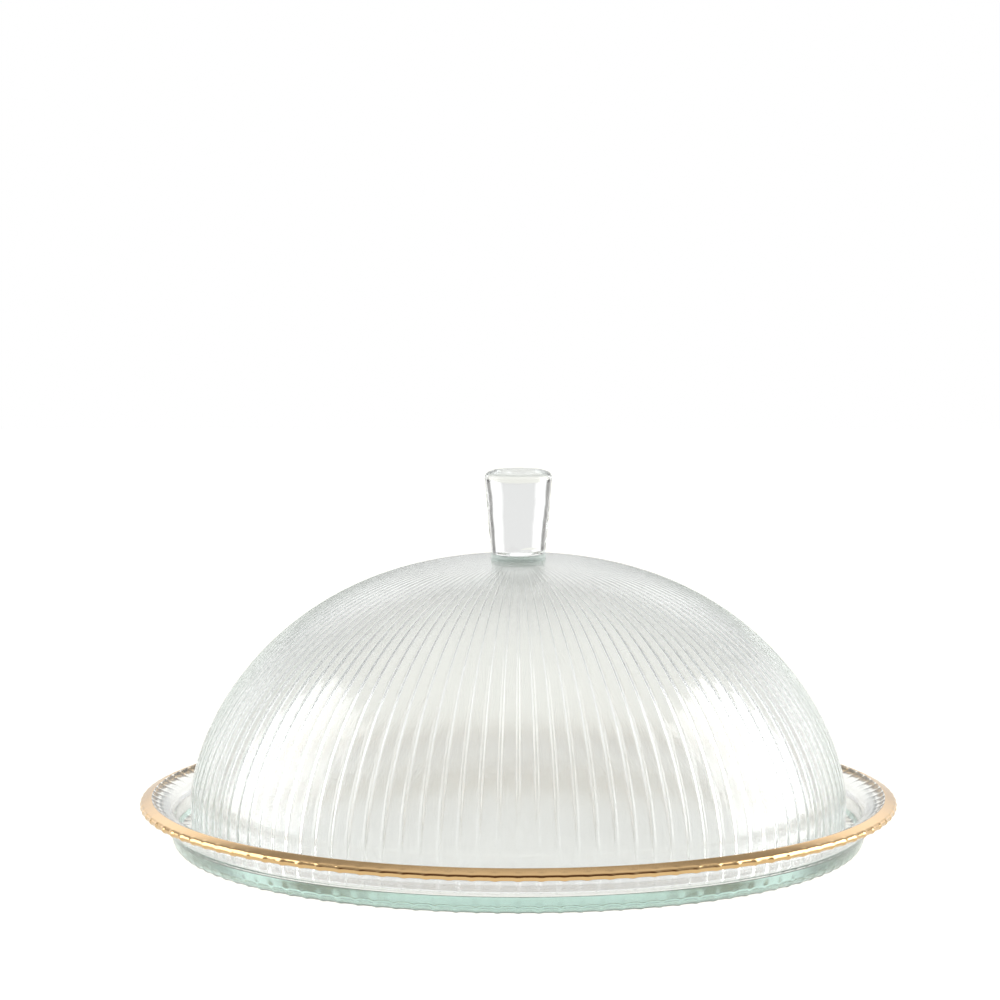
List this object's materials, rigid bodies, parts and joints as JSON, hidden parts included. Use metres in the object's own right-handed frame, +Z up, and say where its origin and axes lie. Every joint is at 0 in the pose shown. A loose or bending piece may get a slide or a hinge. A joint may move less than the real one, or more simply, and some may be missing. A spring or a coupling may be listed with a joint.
{
  "type": "glass cloche with plate",
  "caption": "Ribbed clear-glass dome with a solid glass knob, standing loose in the well of a ribbed glass plate with a gilt rim; the dome lifts straight off.",
  "frame": {"origin": "on the table, under the middle of the plate", "axes": "+Z up along the shared axis of the dome and the plate; X and Y lie level and are alike"},
  "size_m": [0.2996, 0.2996, 0.1496],
  "materials": {
    "plate_glass": "fire-polished pressed glass, faintly green through its thickness",
    "rim_gilding": "bright fired gilding over a ribbed bead",
    "dome_glass": "fire-polished pressed glass with fine upright ribs",
    "knob_glass": "clear solid glass, lightly waved by hand working",
    "bond_adhesive": "clear cured adhesive"
  },
  "bodies": {
    "plate": {"plate": "plate_glass", "gilt_rim": "rim_gilding"},
    "cloche": {"cloche_dome": "dome_glass", "knob": "knob_glass", "knob_bond": "bond_adhesive"}
  },
  "joints": [
    {"name": "cloche_lift", "type": "slide", "parent": "plate", "child": "cloche", "axis": [0, 0, 1], "range_m": [0, 0.2]}
  ]
}
